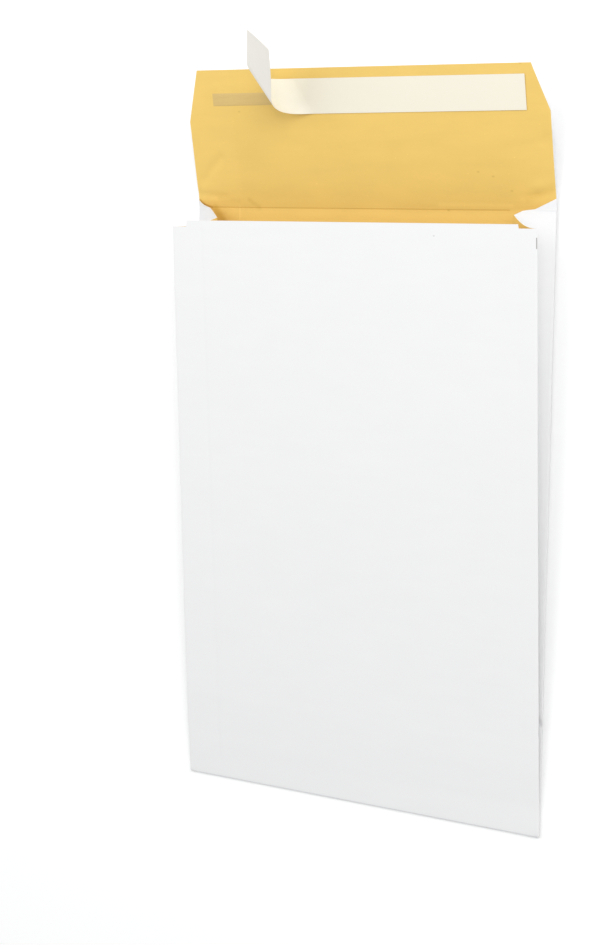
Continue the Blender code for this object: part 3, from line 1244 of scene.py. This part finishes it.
@dataclass
class ReleaseLiner:
    """The paper strip over the adhesive, flat on it and bent up round a slanting line at its left end.

    Attributes:
        form: The envelope's form.
        right: Its lying end.
        left: Its other end, before it was peeled.
        low: Its lower edge, up from the crease.
        high: Its upper edge.
        thickness: Of the strip.
        rise: Of its middle over the flap.
        peel_start: Where the bend's line crosses its lower edge.
        slant: Of the bend's line, from the strip's length.
        turned: How far it is bent, at its lower edge.
        twist: How much further it is bent for each metre up the bend's line.
        radius: Of the bend, at its lower edge.
        widening: Growth of the radius for each metre up the bend's line.
        curl: Curvature of its free end.
        columns: Vertices along it.
        rows: Vertices across it.
    """

    form: Form
    right: float = 0.101
    left: float = -0.0977
    low: float = 0.0516
    high: float = 0.0712
    thickness: float = 0.00012
    rise: float = 0.00028
    peel_start: float = -0.0279
    slant: float = math.radians(60.2)
    turned: float = math.radians(150.6)
    twist: float = 2.4
    radius: float = 0.0105
    widening: float = 0.036
    curl: float = -6.3
    columns: int = 281
    rows: int = 25

    def bend_tree(self) -> Tree:
        """Builds the tree that makes the flat strip and bends it up, and returns it."""
        graph, given, result = new_group(
            "peeled liner",
            "GeometryNodeTree",
            {
                "Strip": "Geometry",
                "Length": "Float",
                "Width": "Float",
                "Centre": "Vector",
                "Bend Start": "Vector",
                "Slant": "Float",
                "Turn": "Float",
                "Twist": "Float",
                "Radius": "Float",
                "Widening": "Float",
                "Curl": "Float",
                "Finish": "Material",
            },
            {"Strip": "Geometry"},
        )
        grid = graph.node(
            "GeometryNodeMeshGrid",
            Size_X=given["Length"],
            Size_Y=given["Width"],
            Vertices_X=self.columns,
            Vertices_Y=self.rows,
        )
        position = graph.node("GeometryNodeInputPosition").outputs[0]
        flat = graph.vector("ADD", position, given["Centre"])
        offset = graph.vector("SUBTRACT", flat, given["Bend Start"])
        cosine, sine = graph.math("COSINE", given["Slant"]), graph.math("SINE", given["Slant"])
        axis = graph.node("ShaderNodeCombineXYZ", X=graph.math("MULTIPLY", cosine, -1.0), Y=sine).outputs[0]
        across = graph.vector("CROSS_PRODUCT", axis, (0.0, 0.0, -1.0))
        on_axis = graph.vector("DOT_PRODUCT", offset, axis, output="Value")
        distance = graph.vector("DOT_PRODUCT", offset, across, output="Value")
        radius = graph.math("MULTIPLY_ADD", given["Widening"], on_axis, given["Radius"])
        whole = graph.math("MULTIPLY_ADD", given["Twist"], on_axis, given["Turn"])
        angle = graph.math("MAXIMUM", graph.math("DIVIDE", distance, radius), 0.0)
        angle = graph.math("MINIMUM", angle, whole)
        lying = graph.math("MINIMUM", distance, 0.0)
        bend_length = graph.math("MULTIPLY", radius, whole)
        free = graph.math("MAXIMUM", graph.math("SUBTRACT", distance, bend_length), 0.0)
        swept = graph.math("MULTIPLY_ADD", free, given["Curl"], whole)
        run = graph.math("SUBTRACT", graph.math("SINE", swept), graph.math("SINE", whole))
        rise = graph.math("SUBTRACT", graph.math("COSINE", whole), graph.math("COSINE", swept))
        onward = graph.math("MULTIPLY_ADD", graph.math("SINE", angle), radius, lying)
        onward = graph.math("ADD", onward, graph.math("DIVIDE", run, given["Curl"]))
        height = graph.math("MULTIPLY", graph.math("SUBTRACT", 1.0, graph.math("COSINE", angle)), radius)
        height = graph.math("ADD", height, graph.math("DIVIDE", rise, given["Curl"]))
        placed = graph.vector("ADD", given["Bend Start"], graph.scaled(axis, on_axis))
        placed = graph.vector("ADD", placed, graph.scaled(across, onward))
        lifted = graph.vector("ADD", placed, graph.along_z(height))
        bent = graph.node("GeometryNodeSetPosition", Geometry=grid.outputs["Mesh"], Position=lifted)
        graph.feed(result["Strip"], graph.dressed(bent.outputs[0], given["Finish"]))
        return graph.tree

    def lay_on_flap(self, mesh: bpy.types.Mesh) -> None:
        """Moves the bent strip from its own plane onto the flap, whose bow its lying part follows."""
        tilt = self.form.plane_tilt
        upward = Vector((0, math.cos(tilt), math.sin(tilt)))
        outward = Vector((0, -math.sin(tilt), math.cos(tilt)))
        crease = self.form.in_place(0, self.form.length, 0)
        for vert in mesh.vertices:
            x, up, height = vert.co
            up = self.form.leaned(x, up)
            bow = Vector((0, *self.form.flap_reach(min(max(up, self.low), self.high))))
            vert.co = crease + Vector((x, 0, 0)) + upward * up
            vert.co += outward * (height + bow.dot(outward) + self.form.sheet / 2 + self.rise)

    def build(self, finishes: Paints) -> bpy.types.Object:
        """Builds the strip.

        Args:
            finishes: Its materials in the order of Shell.

        Returns:
            The finished piece.
        """
        obj = make_object("peeled_liner", bmesh.new(), finishes[:1])
        values = {
            "Length": self.right - self.left,
            "Width": self.high - self.low,
            "Centre": ((self.left + self.right) / 2, (self.low + self.high) / 2, 0.0),
            "Bend Start": (self.peel_start, self.low, 0.0),
            "Slant": self.slant,
            "Turn": self.turned,
            "Twist": self.twist,
            "Radius": self.radius,
            "Widening": self.widening,
            "Curl": self.curl,
            "Finish": finishes[Shell.OUTSIDE.value],
        }
        add_tree(obj, self.bend_tree(), values)
        bake_modifiers(obj, finishes, 60)
        self.lay_on_flap(obj.data)
        thicken(obj, self.thickness)
        bake_modifiers(obj, finishes, 60)
        hand_over(obj, "release_liner")
        return obj


# ------------------------------------------------------------------ finishes


@dataclass
class Dress:
    """The envelope's finishes.

    Attributes:
        form: The envelope's form.
        groups: The shared shader groups.
        bottom_width: From the bottom fold to where its whitening ends.
    """

    form: Form
    groups: Groups
    bottom_width: float = 0.0025

    def flap_mark(self, start: Pair, end: Pair, width: float, tint: Colour, height: float = 0.0) -> Mark:
        """Returns a mark on the flap's inner face, its ends given across and up from the crease."""
        return Mark(self.form.on_flap(*start), self.form.on_flap(*end), width, tint, height)

    def inner_mark(self, start: Pair, end: Pair, width: float, tint: Colour, height: float = 0.0) -> Mark:
        """Returns a mark on the back panel's inner face, its ends given across and up from the crease."""
        top = self.form.length / 2
        ends = [Vector((x, top + up, self.form.sheet)) for x, up in (start, end)]
        return Mark(*ends, width, tint, height)

    def front_mark(self, start: Pair, end: Pair, width: float, tint: Colour, height: float = 0.0) -> Mark:
        """Returns a mark on the front panel, its ends given across and along from the bottom fold."""
        ends = [
            self.form.in_place(x, along, self.form.front_at(x, along) + self.form.sheet / 2)
            for x, along in (start, end)
        ]
        return Mark(*ends, width, tint, height)

    def gusset_mark(self, start: Pair, end: Pair, width: float, tint: Colour, height: float = 0.0) -> Mark:
        """Places a mark on the white face of the right gusset's back half.

        Args:
            start: One end: its share from the back fold to the inner fold, and along from the bottom fold.
            end: The other end.
            width: From its middle to where it fades out.
            tint: What the colour is multiplied by.
            height: How far it stands out.

        Returns:
            The mark.
        """
        ends = []
        for share, along in (start, end):
            low = self.form.back_at(self.form.panel_half, along)
            slope = self.form.gusset_slope(self.form.front_height(along, Side.RIGHT) - low)
            reach = share * self.form.gusset
            x = self.form.panel_half - reach * math.cos(slope)
            z = low + 2 * self.form.fold + reach * math.sin(slope)
            beyond = Vector((0, max(along - self.form.length, 0), 0))
            ends.append(self.form.in_place(x, min(along, self.form.length), z) + beyond)
        return Mark(*ends, width, tint, height)

    def white_marks(self) -> tuple[Mark, ...]:
        """Returns the marks on the white face: a speck, painted shade in the slit of the right front fold,
        faint painted shade along the left front crease, and painted shade along the gusset's crease, where it
        bends with the flap and at its crumple.
        """
        # grey: painted shade along the gusset's crease.
        grey = (0.93, 0.935, 0.95)
        return (
            self.front_mark((0.0543, 0.3104), (0.0549, 0.3104), 0.0005, (0.72, 0.72, 0.72)),
            # Painted shade in the slit of the right front fold, with a groove.
            self.front_mark((0.1143, 0.3051), (0.1143, 0.3102), 0.0005, (0.36, 0.35, 0.33), -0.0001),
            # Faint painted shade along the left front crease.
            self.front_mark((-0.0915, 0.010), (-0.0938, 0.312), 0.0018, (0.99, 0.99, 0.99), 0.00003),
            # Painted shade along the gusset's crease, with a groove.
            self.gusset_mark((0.0, 0.3238), (0.62, 0.3238), 0.0008, grey, -0.00006),
            # Painted shade where the gusset bends forward with the flap.
            self.gusset_mark((0.03, 0.3272), (0.35, 0.3258), 0.0036, (0.95, 0.955, 0.97)),
            # Painted shade of the crumple low on the right gusset, with a groove.
            self.gusset_mark((0.02, 0.0595), (0.16, 0.0655), 0.0022, (0.9, 0.9, 0.91), -0.0001),
        )

    def bottom_mark(self, tint: Colour) -> Mark:
        """Returns a whitened strip at the bottom fold, where the gussets' lower ends let the kraft show."""
        half, low, high = self.form.width / 2, -self.form.length / 2, self.form.flattened / 2
        return Mark(Vector((-half, low, high)), Vector((half, low, high)), self.bottom_width, tint)

    def kraft_marks(self) -> tuple[Mark, ...]:
        """Returns the marks on the kraft face: painted shade and a painted highlight along the flap's crease,
        painted shade at its wrinkles, its curled left cut and its bent right corner, a painted shadow of the
        left gusset on the back panel, a lighter line along the glued seam, and the whitened bottom fold.
        """
        # dark: painted shadow of the left gusset on the back panel's kraft; the second colour: painted shade
        # along the curled left cut.
        dark, painted_curl_shade = (0.88, 0.85, 0.66), (0.72, 0.62, 0.46)
        return (
            # Painted shade along the flap's crease, with a groove.
            self.flap_mark((-0.104, 0), (0.0864, 0), 0.0007, (0.86, 0.81, 0.7), -0.00008),
            # Painted highlight on the rounded crease's ridge, just above it.
            self.flap_mark((0.045, 0.0024), (0.088, 0.0022), 0.0022, (1.05, 1.06, 1.09), 0.00005),
            # Painted shade of two wrinkles low on the flap's left.
            self.flap_mark((-0.0987, 0.0052), (-0.085, 0.0038), 0.0024, (0.96, 0.95, 0.92)),
            self.flap_mark((-0.0780, 0.0045), (-0.0718, 0.0002), 0.0024, (0.93, 0.91, 0.85)),
            # Painted shade along the curled left cut, with a ridge.
            self.flap_mark((-0.1133, 0.0048), (-0.1097, 0.0016), 0.0014, painted_curl_shade, 0.0001),
            self.flap_mark((-0.1097, 0.0016), (-0.1045, 0.0002), 0.0012, painted_curl_shade, 0.0001),
            # Painted shadow of the left gusset on the back panel's kraft.
            self.inner_mark((-0.1020, -0.0004), (-0.0968, -0.0066), 0.0034, dark),
            self.inner_mark((-0.0853, 0.0005), (-0.0853, -0.007), 0.0005, (1.1, 1.12, 1.2), 0.00008),
            # Painted shade where the flap bends by its right cut.
            self.flap_mark((0.0976, 0.0061), (0.1118, 0.0105), 0.0030, (0.95, 0.93, 0.87)),
            self.bottom_mark((1.0, 1.5, 5.4)),
        )

    def sheet(self) -> Paints:
        """Returns the sheet's finishes in the order of Shell."""
        white = PaperFinish(
            "white_paper", (0.793, 0.793, 0.797), 0.72, 0.018, 0.012, 0.000010, marks=self.white_marks()
        )
        kraft = PaperFinish(
            "golden_kraft",
            (0.792, 0.541, 0.146),
            0.68,
            0.07,
            0.05,
            0.000016,
            specks=(0.16, (0.86, 0.84, 0.76)),
            marks=self.kraft_marks(),
            seam=-0.083,
        )
        whitened = (self.bottom_mark((1.0, 1.17, 1.8)),)
        edge = PaperFinish("cut_paper_edge", (0.80, 0.68, 0.44), 0.85, 0.05, 0.2, 0.00002, marks=whitened)
        return [finish.material(self.groups) for finish in (white, kraft, edge)]

    def liner(self) -> Paints:
        """Returns the liner's finishes in the order of Shell."""
        cream = PaperFinish("cream_liner_face", (0.822, 0.780, 0.658), 0.72, 0.012, 0.008, 0.000004)
        white = PaperFinish("white_liner_face", (0.965, 0.97, 0.985), 0.6, 0.012, 0.008, 0.000004)
        edge = PaperFinish("liner_edge", (0.86, 0.84, 0.78), 0.7, 0.02, 0.05, 0.000004)
        return [finish.material(self.groups) for finish in (cream, white, edge)]


# ------------------------------------------------------------------ studio


@dataclass
class Studio:
    """The pale floor, the soft light and the camera.

    Attributes:
        eye: The camera's place.
        swing: The camera's turn about Y, then tip about X, then roll about Z.
        lens: Focal length in millimetres.
        sensor: Width of the sensor in millimetres.
        lights: Centre and power in watts of each large soft light.
        light_size: Their side.
        light_colour: Their colour.
        fill: Strength of the even light from all round.
        fill_colour: Its colour.
        floor_tone: How bright the floor is.
        floor_gap: How far it lies below the envelope.
    """

    eye: Triple = (0.648175, 0.152181, 0.995738)
    swing: Triple = (34.86, -6.377, 0.951)
    lens: float = 83.94
    sensor: float = 36.0
    lights: tuple[tuple[Triple, float], ...] = (
        ((0.90, 0.82, 1.02), 14.0),
        ((-0.70, 0.60, 1.05), 7.4),
    )
    light_size: float = 1.2
    light_colour: Colour = (1.0, 0.992, 0.98)
    fill: float = 0.61
    fill_colour: Colour = (0.975, 0.988, 1.0)
    floor_tone: float = 0.985
    floor_gap: float = 0.0001

    def build(self) -> None:
        """Builds the studio."""
        scene = bpy.context.scene
        scene.view_settings.view_transform = "Standard"
        self.build_floor()
        self.build_light()
        camera = bpy.data.objects.new("camera", bpy.data.cameras.new("camera"))
        scene.collection.objects.link(camera)
        yaw, tip, roll = (math.radians(angle) for angle in self.swing)
        turned = Matrix.Rotation(yaw, 4, "Y") @ Matrix.Rotation(tip, 4, "X") @ Matrix.Rotation(roll, 4, "Z")
        camera.matrix_world = Matrix.Translation(self.eye) @ turned
        camera.data.sensor_width = self.sensor
        camera.data.lens = self.lens
        camera.data.clip_start = 0.05
        scene.camera = camera

    def build_floor(self) -> None:
        """Lays the floor just under the envelope."""
        builder = bmesh.new()
        bmesh.ops.create_grid(builder, x_segments=4, y_segments=4, size=4)
        bmesh.ops.translate(builder, vec=(0, 0, -self.floor_gap), verts=builder.verts)
        paint, graph, shader, position = new_material("pale_floor")
        tone = graph.math("MULTIPLY_ADD", graph.noise(position, 3.0, 2.0), 0.008, self.floor_tone)
        graph.feed(shader["Base Color"], graph.grey(tone))
        shader["Roughness"].default_value = 0.9
        shader["Specular IOR Level"].default_value = 0.1
        make_object("floor", builder, [paint])

    def build_light(self) -> None:
        """Hangs the soft lights and fills the room with an even light."""
        world = bpy.data.worlds.new("soft white room")
        world.use_nodes = True
        background = world.node_tree.nodes["Background"]
        background.inputs["Color"].default_value = (*self.fill_colour, 1)
        background.inputs["Strength"].default_value = self.fill
        bpy.context.scene.world = world
        for place, power in self.lights:
            light = bpy.data.objects.new("soft light", bpy.data.lights.new("soft light", "AREA"))
            light.data.energy = power
            light.data.color = self.light_colour
            light.data.size = self.light_size
            light.location = place
            light.rotation_euler = Vector(place).to_track_quat("Z", "Y").to_euler()
            bpy.context.scene.collection.objects.link(light)


def main() -> None:
    """Builds the envelope's pieces in order, and the studio around them."""
    logging.basicConfig(level=logging.INFO, format="%(name)s %(message)s")
    form = Form()
    groups = Groups()
    dress = Dress(form, groups)
    FoldedSheet(form).build(dress.sheet())
    AdhesiveBand(form).build(AdhesiveFinish().material(groups))
    ReleaseLiner(form).build(dress.liner())
    Studio().build()


if __name__ == "__main__":
    main()
